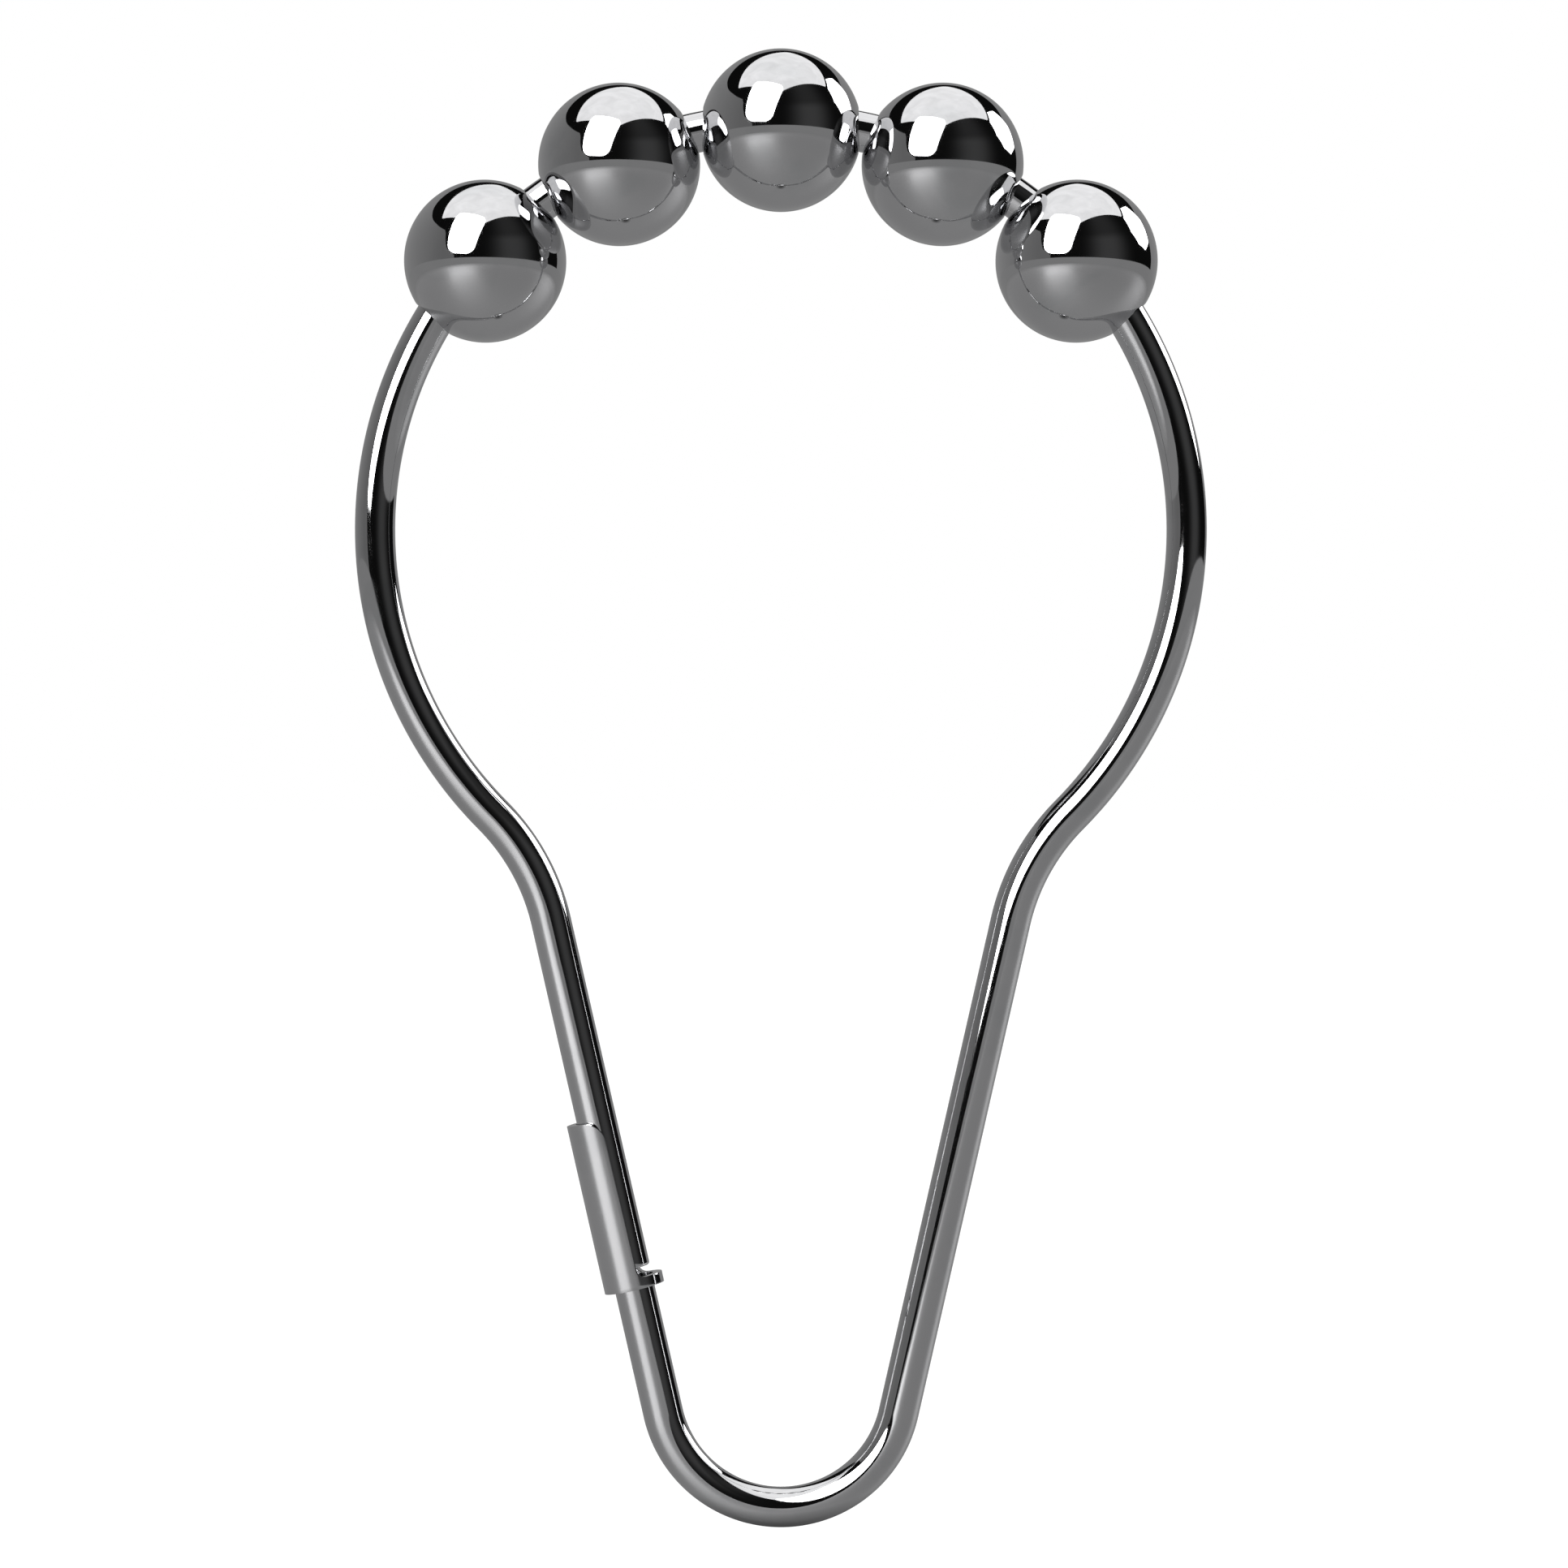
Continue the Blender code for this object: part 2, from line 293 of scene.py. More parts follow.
class WireBender:
    """Feeds and bends round wire in the XZ plane."""

    def __init__(self, place, heading):
        self.shape = bmesh.new()
        self.own_space = self.shape.verts.layers.float_vector.new("own_space")
        self.place = place
        self.heading = heading
        self.fed = 0
        facing = heading.to_track_quat("Z", "Y").to_matrix().to_4x4()
        start = bmesh.ops.create_circle(
            self.shape, segments=WIRE_SIDES, radius=WIRE_RADIUS, matrix=Matrix.Translation(place) @ facing
        )
        self.ring = start["verts"]
        self.close_end()
        self.note_own_space()

    def close_end(self):
        """Fills the open end with a flat face."""
        bmesh.ops.contextual_create(self.shape, geom=edges_among(self.ring))

    def note_own_space(self):
        """Where the new corners were on the straight wire: across it, across it and along it."""
        right = Vector((self.heading.z, 0, -self.heading.x))
        for corner in self.ring:
            offset = corner.co - self.place
            corner[self.own_space] = (offset.dot(right), offset.y, self.fed)

    def push_out(self):
        """Extrudes the open end, and leaves the new ring of corners where the old one is."""
        made = bmesh.ops.extrude_edge_only(self.shape, edges=edges_among(self.ring))
        self.ring = only_corners(made["geom"])

    def feed(self, length, steps=1):
        """Adds a straight stretch."""
        for _ in range(steps):
            self.push_out()
            bmesh.ops.translate(self.shape, verts=self.ring, vec=self.heading * length / steps)
            self.place = self.place + self.heading * length / steps
            self.fed += length / steps
            self.note_own_space()

    def bend(self, radius, angle, steps):
        """Adds a bend, which turns right for an angle above zero and left for one below."""
        right = Vector((self.heading.z, 0, -self.heading.x))
        centre = self.place + right * math.copysign(radius, angle)
        turn = Matrix.Rotation(angle / steps, 3, "Y")
        for _ in range(steps):
            self.push_out()
            bmesh.ops.rotate(self.shape, verts=self.ring, cent=centre, matrix=turn)
            self.place = centre + turn @ (self.place - centre)
            self.heading = turn @ self.heading
            self.fed += radius * abs(angle) / steps
            self.note_own_space()


print("the bender turns out", WIRE_SIDES, "sides")

# %% [markdown]
# The wire starts inside the sleeve's ring, runs down the left leg, round the bottom and up the right leg,
# over the top, and down to its free end in the sleeve's trough. The two short bends on the round top are
# where the stops are pinched later. The first and last steps are short ones, because the cut ends will be
# rounded, and the soft shading of that rounding must not spread along a whole leg.

# %% Bend the whole ring
SLEEVE_END = 20.54 * MM
RING_HEIGHT = 0.58 * MM
FREE_END_GAP = 0.5 * MM
FIXED_END_DEPTH = 0.1 * MM
FREE_END = SLEEVE_END - RING_HEIGHT - FREE_END_GAP
FIXED_END = SLEEVE_END - RING_HEIGHT + FIXED_END_DEPTH
STOP_PLACE = math.radians(40.388)
STOP_LENGTH = 1.5 * MM
STOP_TURN = STOP_LENGTH / ARC_RADIUS
END_LAND = 0.3 * MM
LEG_STEPS = 12
LOWER_LEG_STEPS = 4
DEGREES_A_STEP = 1.2
FEWEST_STEPS = 8


def steps_for(angle):
    """How many steps keep a bend smooth."""
    return math.ceil(math.degrees(abs(angle)) / DEGREES_A_STEP)


bender = WireBender(LEG_TOP + DOWN_LEG * FIXED_END, DOWN_LEG)
bender.feed(END_LAND)
bender.feed(LEG_LENGTH - FIXED_END - END_LAND, LOWER_LEG_STEPS)
bottom_turn = math.pi - 2 * LEG_TILT
bender.bend(BEND_RADIUS, -bottom_turn, steps_for(bottom_turn))
bender.feed(LEG_LENGTH, LEG_STEPS)
shoulder_turn = ARC_DROP - LEG_TILT
bender.bend(SHOULDER_RADIUS, shoulder_turn, steps_for(shoulder_turn))
side_turn = math.pi / 2 + ARC_DROP - STOP_PLACE - STOP_TURN / 2
crown_turn = 2 * STOP_PLACE - STOP_TURN
for stretch in (side_turn, STOP_TURN, crown_turn, STOP_TURN, side_turn):
    bender.bend(ARC_RADIUS, -stretch, max(FEWEST_STEPS, steps_for(stretch)))
bender.bend(SHOULDER_RADIUS, shoulder_turn, steps_for(shoulder_turn))
bender.feed(FREE_END - END_LAND, LEG_STEPS)
bender.feed(END_LAND)
bender.close_end()
print("wire used:", round(bender.fed * 1000, 1), "mm")

# %% [markdown]
# Inside each end ball the wire is pinched flat, so that the balls cannot run down onto the shoulders. A
# stop could be a collar of its own, but the real one is the same wire, so its corners are pressed together
# and spread instead, most in the middle of the stop and less towards its ends. The cut ends of the wire
# are tumbled, and a bevel on the edge of each end face rounds them in the same way.

# %% Pinch the stops and round the cut ends
TOUCHING = 0.001 * MM
STOP_WIDTH = 3.2 * MM
STOP_SPREAD = STOP_WIDTH / (2 * WIRE_RADIUS)
END_ROUND = 0.14 * MM
END_ROUND_STEPS = 4


def pinch_stop(shape, middle):
    """Flattens the wire about one place on its round top: wider across, and thinner by as much."""
    for corner in shape.verts:
        away = corner.co - ARC_CENTRE
        angle = math.atan2(away.x, away.z)
        off_middle = abs(angle - middle) / (STOP_TURN / 2)
        across = Vector((away.x, 0, away.z)).length - ARC_RADIUS
        if off_middle >= 1 or abs(across) > WIRE_RADIUS + TOUCHING:
            continue
        spread = 1 + min(1, 2 * (1 - off_middle)) * (STOP_SPREAD - 1)
        flat = in_plane(ARC_RADIUS + across / spread, angle)
        corner.co = ARC_CENTRE + flat + Vector((0, away.y * spread, 0))


for middle in (STOP_PLACE, -STOP_PLACE):
    pinch_stop(bender.shape, middle)
cut_faces = [face for face in bender.shape.faces if len(face.verts) == WIRE_SIDES]
bmesh.ops.bevel(
    bender.shape,
    geom=[edge for face in cut_faces for edge in face.edges],
    offset=END_ROUND,
    segments=END_ROUND_STEPS,
    profile=0.5,
    affect="EDGES",
    material=-1,
)
bmesh.ops.recalc_face_normals(bender.shape, faces=bender.shape.faces)
print("stops:", round(STOP_WIDTH / MM, 1), "mm wide, cut ends:", len(cut_faces))

# %% [markdown]
# A finished piece is an object that stays at the origin, with its place in its mesh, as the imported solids
# have it, and its body carries it when a joint moves. Its faces are shaded smooth, and only the edges that
# are sharp on the real piece stay sharp.

# %% Make the wire a piece
def smooth_piece(name, shape, material, sharp_angle):
    """An object whose place is in its mesh, shaded smooth apart from its sharp edges."""
    mesh = bpy.data.meshes.new(name)
    shape.to_mesh(mesh)
    shape.free()
    mesh.materials.append(material)
    mesh.shade_smooth()
    mesh.set_sharp_from_angle(angle=math.radians(sharp_angle))
    piece = bpy.data.objects.new(name, mesh)
    bpy.context.scene.collection.objects.link(piece)
    print(name, len(mesh.polygons), "faces")
    return piece


plated_wire = smooth_piece("plated_wire", bender.shape, wire_plating, sharp_angle=40)
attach(plated_wire, "frame")
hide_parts("wire_frame")

# %% [markdown]
# ## The roller balls
#
# Each ball is a thin steel shell with an eye at each end, and the edge of each eye is turned to a round
# lip so that it runs smoothly on the wire. A sphere with two holes cut in it would have no wall and no
# lips. The real ball is as round as if it were turned, so its wall is drawn once as a closed outline and
# spun once about its axis. The outline is one corner, spun four times: over the outside of the shell,
# round one lip, back along the inside, and round the other lip.

# %% One ball's section
BALL_WALL = 0.2 * MM
EYE_CLEARANCE = 0.06 * MM
LIP_RADIUS = BALL_WALL / 2
LIP_OFFSET = WIRE_RADIUS + EYE_CLEARANCE + LIP_RADIUS
OUTER_STEPS = 64
INNER_STEPS = 28
LIP_STEPS = 10
BALL_SIDES = 96


def spin_corner(shape, corner, centre, angle, steps):
    """Draws an arc from this corner about a centre in the XZ plane, and gives its last corner."""
    made = bmesh.ops.spin(
        shape, geom=[corner], cent=centre, axis=(0, 1, 0), angle=angle, steps=steps
    )
    return only_corners(made["geom_last"])[0]


def ball_section(shape):
    """Draws the closed outline of the ball's wall."""
    lip_angle = math.asin(LIP_OFFSET / (BALL_RADIUS - LIP_RADIUS))
    over = math.pi - 2 * lip_angle
    top_lip = in_plane(BALL_RADIUS - LIP_RADIUS, lip_angle)
    low_lip = in_plane(BALL_RADIUS - LIP_RADIUS, math.pi - lip_angle)
    corner = shape.verts.new(in_plane(BALL_RADIUS, lip_angle))
    corner = spin_corner(shape, corner, (0, 0, 0), over, OUTER_STEPS)
    corner = spin_corner(shape, corner, low_lip, math.pi, LIP_STEPS)
    corner = spin_corner(shape, corner, (0, 0, 0), -over, INNER_STEPS)
    spin_corner(shape, corner, top_lip, math.pi, LIP_STEPS)
    bmesh.ops.remove_doubles(shape, verts=shape.verts, dist=TOUCHING)


ball = bmesh.new()
ball_section(ball)
bmesh.ops.spin(
    ball,
    geom=ball.verts[:] + ball.edges[:],
    cent=(0, 0, 0),
    axis=(0, 0, 1),
    angle=2 * math.pi,
    steps=BALL_SIDES,
    use_merge=True,
)
bmesh.ops.remove_doubles(ball, verts=ball.verts, dist=TOUCHING)
bmesh.ops.recalc_face_normals(ball, faces=ball.faces)
print("one ball:", len(ball.faces), "faces")

# %% [markdown]
# The five balls come off the same press, so they share that mesh. Each is set on its own joint, whose
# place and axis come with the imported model, and rides on that joint's body, so it rolls there. A shift of
# the marks keeps any two balls from wearing the same smears.

# %% Thread the balls on the wire
MARK_SHIFT = Vector((0.05, 0.03, 0.02))


def keep_own_space(shape, shift=Vector()):
    """Notes where each corner is now, before the piece is put in place, for the plating's fine marks."""
    own_space = shape.verts.layers.float_vector.new("own_space")
    for corner in shape.verts:
        corner[own_space] = corner.co + shift


for number in range(1, len(ball_joints) + 1):
    body = f"roller_{number}"
    shell = ball.copy()
    keep_own_space(shell, MARK_SHIFT * number)
    along_wire = Vector(ball_joints[body]["axis"]).to_track_quat("Z", "Y").to_matrix().to_4x4()
    on_wire = Matrix.Translation(ball_middle[body]) @ along_wire
    bmesh.ops.transform(shell, matrix=on_wire, verts=shell.verts)
    roller_ball = smooth_piece(f"roller_ball_{number}", shell, ball_plating, sharp_angle=60)
    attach(roller_ball, body)
    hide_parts(f"ball_{number}")
ball.free()

# %% [markdown]
# ## The sleeve that catches the free end
#
# The catch is a scrap of sheet, cut flat and rolled round the wire. Its lower end closes to a narrow ring
# and the rest stays open on the inside of the hook, as a trough whose top corners are cut round. It could
# be a tube with a notch cut out by a Boolean, but that leaves ragged faces, and mirror plating shows
# every one. Rolling a flat sheet keeps its rows clean. The cut line of the blank comes first, from the
# ring up: a small round at the heel, a straight side, and a large round at the mouth.

# %% The cut line of the blank
SLEEVE_WALL = 0.5 * MM
SLEEVE_CLEARANCE = 0.06 * MM
SLEEVE_RADIUS = WIRE_RADIUS + SLEEVE_CLEARANCE + SLEEVE_WALL
SLEEVE_LENGTH = 9.4 * MM
MOUTH_OFFSET = 0.4 * MM
MOUTH_ROUND = 1.25 * MM
HEEL_ROUND = 0.45 * MM
HEEL_STEPS = 8
STRAIGHT_STEPS = 14
MOUTH_STEPS = 18

heel = Vector((MOUTH_OFFSET + HEEL_ROUND, 0, RING_HEIGHT + HEEL_ROUND))
mouth = Vector((MOUTH_OFFSET - MOUTH_ROUND, 0, SLEEVE_LENGTH - MOUTH_ROUND))
edge_low = heel + in_plane(HEEL_ROUND, -math.pi / 2)
edge_high = mouth + in_plane(MOUTH_ROUND, math.pi / 2)
cut_line = [
    heel + in_plane(HEEL_ROUND, math.pi + math.pi / 2 * step / HEEL_STEPS)
    for step in range(HEEL_STEPS)
]
cut_line += [
    edge_low.lerp(edge_high, step / STRAIGHT_STEPS)
    for step in range(STRAIGHT_STEPS)
]
cut_line += [
    mouth + in_plane(MOUTH_ROUND, math.pi / 2 * (1 - step / MOUTH_STEPS))
    for step in range(MOUTH_STEPS + 1)
]
print("rows in the blank:", len(cut_line))

# %% [markdown]
# A grid is the blank. Each row of it is as wide as the trough is there, and each of its corners is wrapped
# round the wire. The lowest row is closed to a full circle by a spin of its last corner, and the ring is
# pushed down from that circle.

# %% Roll the trough and close the ring
ROLL_COLUMNS = 88
RING_STEPS = 44
RING_ROWS = 3

sleeve = bmesh.new()
rows = len(cut_line) - 1
bmesh.ops.create_grid(sleeve, x_segments=ROLL_COLUMNS, y_segments=rows, size=0.5)
for corner in sleeve.verts:
    edge = cut_line[round((corner.co.y + 0.5) * rows)]
    angle = 2 * corner.co.x * math.acos(-edge.x / SLEEVE_RADIUS)
    corner.co = (-math.cos(angle) * SLEEVE_RADIUS, math.sin(angle) * SLEEVE_RADIUS, edge.z)
foot = [corner for corner in sleeve.verts if corner.co.z < RING_HEIGHT + TOUCHING]
foot.sort(key=lambda corner: math.atan2(corner.co.y, -corner.co.x))
open_turn = 2 * math.pi - 2 * math.acos(-cut_line[0].x / SLEEVE_RADIUS)
bmesh.ops.spin(
    sleeve, geom=[foot[-1]], cent=(0, 0, 0), axis=(0, 0, 1), angle=-open_turn, steps=RING_STEPS
)
bmesh.ops.remove_doubles(sleeve, verts=sleeve.verts, dist=TOUCHING)
ring = [corner for corner in sleeve.verts if corner.co.z < RING_HEIGHT + TOUCHING]
for _ in range(RING_ROWS):
    made = bmesh.ops.extrude_edge_only(sleeve, edges=edges_among(ring))
    ring = only_corners(made["geom"])
    bmesh.ops.translate(sleeve, verts=ring, vec=(0, 0, -RING_HEIGHT / RING_ROWS))
bmesh.ops.remove_doubles(sleeve, verts=sleeve.verts, dist=TOUCHING)
bmesh.ops.recalc_face_normals(sleeve, faces=sleeve.faces)
across = Vector((1, 1, 0))
outwards = sum(face.normal.dot(face.calc_center_median() * across) for face in sleeve.faces)
if outwards < 0:
    bmesh.ops.reverse_faces(sleeve, faces=sleeve.faces)
print("sleeve sheet:", len(sleeve.faces), "faces")

# %% [markdown]
# The rolled sheet is leaned over with its leg. The Solidify modifier gives it its thickness, inwards from
# the outer face, and Bevel breaks its edges, as tumbling does. Both could be done in the bmesh, but as
# modifiers they can be changed at the end without rolling the sheet again.

# %% Put the sleeve on its leg
EDGE_BREAK = 0.13 * MM
EDGE_BREAK_STEPS = 3
EDGE_BREAK_ANGLE = math.radians(50)

keep_own_space(sleeve)
on_leg = Matrix.Translation(LEG_TOP + DOWN_LEG * SLEEVE_END) @ Matrix.Rotation(-LEG_TILT, 4, "Y")
bmesh.ops.transform(sleeve, matrix=on_leg, verts=sleeve.verts)
catch_sleeve = smooth_piece("catch_sleeve", sleeve, sleeve_plating, sharp_angle=60)
thickness = catch_sleeve.modifiers.new("sheet thickness", "SOLIDIFY")
thickness.thickness = SLEEVE_WALL
thickness.offset = -1
thickness.use_even_offset = True
broken_edge = catch_sleeve.modifiers.new("broken edges", "BEVEL")
broken_edge.width = EDGE_BREAK
broken_edge.segments = EDGE_BREAK_STEPS
broken_edge.limit_method = "ANGLE"
broken_edge.angle_limit = EDGE_BREAK_ANGLE
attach(catch_sleeve, "frame")
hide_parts("clasp_sleeve")

# %% [markdown]
# ## The studio
#
# A mirror has no look of its own. The dark and light bands on the hook are the grey floor of a hall, the
# hall's dark in front and to the right, grey walls to the left and behind, a large lamp overhead, an
# upright lamp on the left and an eight-sided one on the right. They could be painted into the world, but
# cards that stand in the scene are easier to move and aim, and each piece of the hook sees them from its
# own place. The camera does not see them: it sees plain white, as in the photograph.
#
# A direction is given as an azimuth and an elevation in degrees from the hook's origin. Azimuth 0 is
# behind the camera and 90 is to the camera's right.

# %% Directions
def toward(azimuth, elevation):
    """The direction from the hook at this azimuth and elevation."""
    a, e = math.radians(azimuth), math.radians(elevation)
    return Vector((math.sin(a) * math.cos(e), -math.cos(a) * math.cos(e), math.sin(e)))


print("straight behind the camera is", tuple(toward(0, 0)))

# %% [markdown]
# A card glows by itself, so no lamp has to light it, and its glow may change from one side of it to the
# other. Cards are stage: mirrors see them, but they cast no shadow, give no soft light and are no part of
# the hook.

# %% Cards that glow
def glowing(name):
    """A material that only glows, and its light, whose strength is still to be set."""
    material = bpy.data.materials.new(name)
    material.use_nodes = True
    tree = material.node_tree
    tree.nodes.remove(tree.nodes["Principled BSDF"])
    light = tree.nodes.new("ShaderNodeEmission")
    tree.links.new(light.outputs["Emission"], tree.nodes["Material Output"].inputs["Surface"])
    return material, light


def own_place(tree):
    """The X, Y and Z of the point that is looked at, in its own object."""
    place = tree.nodes.new("ShaderNodeTexCoord")
    return add_node(tree, "ShaderNodeSeparateXYZ", links={"Vector": place.outputs["Object"]}).outputs


def stage_card(name, shape, material):
    """A card of the studio, which only mirrors see."""
    mesh = bpy.data.meshes.new(name)
    shape.to_mesh(mesh)
    shape.free()
    mesh.materials.append(material)
    card = bpy.data.objects.new(name, mesh)
    bpy.context.scene.collection.objects.link(card)
    card.visible_camera = False
    card.visible_diffuse = False
    card.visible_shadow = False
    return card


def rounded_card(left, right, low, high, corner):
    """A flat card with round corners, in the XY plane."""
    shape = bmesh.new()
    bmesh.ops.create_grid(shape, x_segments=1, y_segments=1, size=1)
    for point in shape.verts:
        point.co.x = right if point.co.x > 0 else left
        point.co.y = high if point.co.y > 0 else low
    bmesh.ops.bevel(
        shape, geom=shape.verts[:], offset=corner, segments=8, profile=0.5, affect="VERTICES", material=-1
    )
    return shape


print("card tools are ready")

# %% [markdown]
# The two side lamps face the hook and lean a little. They are drawn for a distance of one metre and grow
# with it, so the hook sees them the same size wherever they stand. All lamps stand well back, because in
# the photograph the five balls show the very same picture of the studio. The left lamp is the brighter
# one, and brightest at its outer side.

# %% The side lamps
LAMP_DISTANCE = 6.0
LEFT_LAMP_SIDES = (-0.384, 0.374, -0.557, 0.6)
LEFT_LAMP_CORNER = 0.24
RIGHT_LAMP_RADIUS = 0.337


def side_lamp(name, shape, azimuth, elevation, lean, brightness):
    """Aims a card at the hook. Its glow runs from the first brightness, on its left, to the second."""
    direction = toward(azimuth, elevation)
    facing = (-direction).to_track_quat("Z", "Y").to_matrix().to_4x4()
    leaning = Matrix.Rotation(math.radians(lean), 4, "Z") @ Matrix.Scale(LAMP_DISTANCE, 4)
    aimed = Matrix.Translation(direction * LAMP_DISTANCE) @ facing @ leaning
    bmesh.ops.transform(shape, matrix=aimed, verts=shape.verts)
    sides = [corner.co.x for corner in shape.verts]
    material, light = glowing(name)
    tree = material.node_tree
    glow = ramp(tree, own_place(tree)["X"], min(sides), max(sides), *brightness)
    tree.links.new(glow, light.inputs["Strength"])
    stage_card(name, shape, material)


left_card = rounded_card(*LEFT_LAMP_SIDES, LEFT_LAMP_CORNER)
side_lamp("left_lamp", left_card, azimuth=-29.8, elevation=33.9, lean=4.6, brightness=(8.6, 3.0))
octagon = bmesh.new()
bmesh.ops.create_circle(octagon, cap_ends=True, segments=8, radius=RIGHT_LAMP_RADIUS)
side_lamp("right_lamp", octagon, azimuth=113, elevation=29.4, lean=1.4, brightness=(3.8, 3.8))
print("side lamps stand", LAMP_DISTANCE, "m away")

# %% [markdown]
# The overhead lamp is level, turned by half a right angle, and as wide as the hook sees it: each side is
# given as a share of its height. Its cloth is not quite even, which shows on the balls.

# %% The overhead lamp
OVERHEAD_HEIGHT = 6.0
OVERHEAD_SIDES = (-0.78, 0.767, -0.675, 0.659)
OVERHEAD_CORNER = 0.05
OVERHEAD_BRIGHTNESS = (1.13, 1.34)
FOLD_SCALE = 0.6
FOLD_LEVELS = (0.3, 0.7)

overhead = rounded_card(*OVERHEAD_SIDES, OVERHEAD_CORNER)
along, across = toward(-45, 0), toward(45, 0)
turned = Matrix((along, across, along.cross(across))).transposed().to_4x4()
overhead_place = Matrix.Translation((0, 0, OVERHEAD_HEIGHT)) @ turned @ Matrix.Scale(OVERHEAD_HEIGHT, 4)
bmesh.ops.transform(overhead, matrix=overhead_place, verts=overhead.verts)
overhead_cloth, light = glowing("overhead_lamp")
tree = overhead_cloth.node_tree
place = tree.nodes.new("ShaderNodeTexCoord")
folds = add_node(
    tree, "ShaderNodeTexNoise",
    links={"Vector": place.outputs["Object"]},
    values={"Scale": FOLD_SCALE, "Detail": 3, "Distortion": 0.8},
)
cloth_glow = ramp(tree, folds.outputs["Fac"], *FOLD_LEVELS, *OVERHEAD_BRIGHTNESS)
tree.links.new(cloth_glow, light.inputs["Strength"])
stage_card("overhead_lamp", overhead, overhead_cloth)

# %% [markdown]
# The walls are one curved sheet, spun about the hook from its right, round behind it and on to its left.
# The top edge is highest on the left and falls away steeply where the sheet ends, and the sheet is paler
# towards the back. It stands on the horizon of the hall. In front and to the right there is no wall, only
# the dark hall.

# %% The grey walls
WALL_DISTANCE = 7.0
WALL_TOPS = (
    (-232, 32), (-195, 34), (-170, 37.6), (-150, 39), (-120, 39.1), (-90, 37.5), (-64.5, 34), (-60.3, 29.5),
    (-57.5, 22), (-53, 12), (-41, 3)
)
HORIZON = (-0.9, -0.6)
WALL_STEPS = 191
WALL_UPRIGHT = Vector((0, 0, 1))
WALL_GREYS = (0.17, 0.285)
WALL_GREYS_FROM, WALL_GREYS_TO = -3.5, 6


def wall_top(azimuth):
    """How high the wall stands at this azimuth, as an elevation."""
    for (low, low_top), (high, high_top) in zip(WALL_TOPS, WALL_TOPS[1:]):
        if azimuth <= high:
            return low_top + (high_top - low_top) * (azimuth - low) / (high - low)
    return WALL_TOPS[-1][1]


wall_start, wall_end = WALL_TOPS[0][0], WALL_TOPS[-1][0]
walls = bmesh.new()
foot_of_wall = toward(wall_start, HORIZON[0]) * WALL_DISTANCE
upright = [walls.verts.new(foot_of_wall), walls.verts.new(foot_of_wall + WALL_UPRIGHT)]
bmesh.ops.spin(
    walls,
    geom=upright + [walls.edges.new(upright)],
    cent=(0, 0, 0),
    axis=(0, 0, 1),
    angle=math.radians(wall_end - wall_start),
    steps=WALL_STEPS,
)
for corner in walls.verts:
    if corner.co.z > 0:
        azimuth = math.degrees(math.atan2(corner.co.x, -corner.co.y))
        azimuth = azimuth - 360 if azimuth > wall_end + 1 else azimuth
        corner.co.z = WALL_DISTANCE * math.tan(math.radians(wall_top(azimuth)))
wall_grey, light = glowing("grey_walls")
tree = wall_grey.node_tree
paler = ramp(tree, own_place(tree)["Y"], WALL_GREYS_FROM, WALL_GREYS_TO, *WALL_GREYS)
tree.links.new(paler, light.inputs["Strength"])
stage_card("grey_walls", walls, wall_grey)
print("walls from", wall_start, "to", wall_end, "degrees")

# %% [markdown]
# The rest of the hall is a large sphere round everything. Its lower half is the grey of the hall's floor.
# Its upper half is nearly black, with a faint lighter patch in front of the hook and to its right: a bell
# curve across the azimuth times a fade up the elevation, which are worked out from the direction alone.

# %% The hall
HALL_RADIUS = 12.0
HALL_GREY = 0.265
HALL_BLACK = 0.005
PATCH_ACROSS = {"middle": 44, "width": 25, "power": 2.5}
PATCH_FADE_FROM, PATCH_FADE_TO = 22, 34
PATCH_GREYS = (0.052, 0.024)


def bell(tree, value, middle, width, power):
    """One at the middle, falling away on each side."""
    away = ramp(tree, value, middle, middle + width, clamp=False)
    away = math_node(tree, "POWER", math_node(tree, "ABSOLUTE", away), power)
    return math_node(tree, "EXPONENT", math_node(tree, "MULTIPLY", away, -1))


hall_paint, light = glowing("hall")
tree = hall_paint.node_tree
parts = own_place(tree)
ahead = math_node(tree, "MULTIPLY", parts["Y"], -1)
azimuth = math_node(tree, "DEGREES", math_node(tree, "ARCTAN2", parts["X"], ahead))
height = math_node(tree, "MULTIPLY", parts["Z"], 1 / HALL_RADIUS)
elevation = math_node(tree, "DEGREES", math_node(tree, "ARCSINE", height))
fade = ramp(tree, elevation, PATCH_FADE_FROM, PATCH_FADE_TO, *PATCH_GREYS, ease="SMOOTHSTEP")
patch = math_node(tree, "MULTIPLY", bell(tree, azimuth, **PATCH_ACROSS), fade)
horizon = add_node(tree, "ShaderNodeMix", data_type="FLOAT", values={"A": HALL_GREY})
tree.links.new(ramp(tree, elevation, *HORIZON), horizon.inputs["Factor"])
tree.links.new(math_node(tree, "ADD", patch, HALL_BLACK), horizon.inputs["B"])
tree.links.new(horizon.outputs["Result"], light.inputs["Strength"])

hall = bmesh.new()
bmesh.ops.create_uvsphere(hall, u_segments=96, v_segments=48, radius=HALL_RADIUS)
stage_card("hall", hall, hall_paint)
print("hall radius:", HALL_RADIUS, "m")

# %% [markdown]
# Right under the hook lies a round table with a satin top. Like the cards, only the mirrors see it. It is
# nearly as grey as the hall's floor, but its top also gives back the two side lamps as broad soft glows,
# strongest far out where the hook sees it at a shallow angle. That is the light band on the left leg and
# the lighter patch under the waist of each ball. Further out the top is duller.

# %% The satin of the table
SATIN_ROUGHNESS = 0.46
DULL_ROUGHNESS = 0.62
SATIN_RADIUS = 0.2
DULL_RADIUS = 0.355

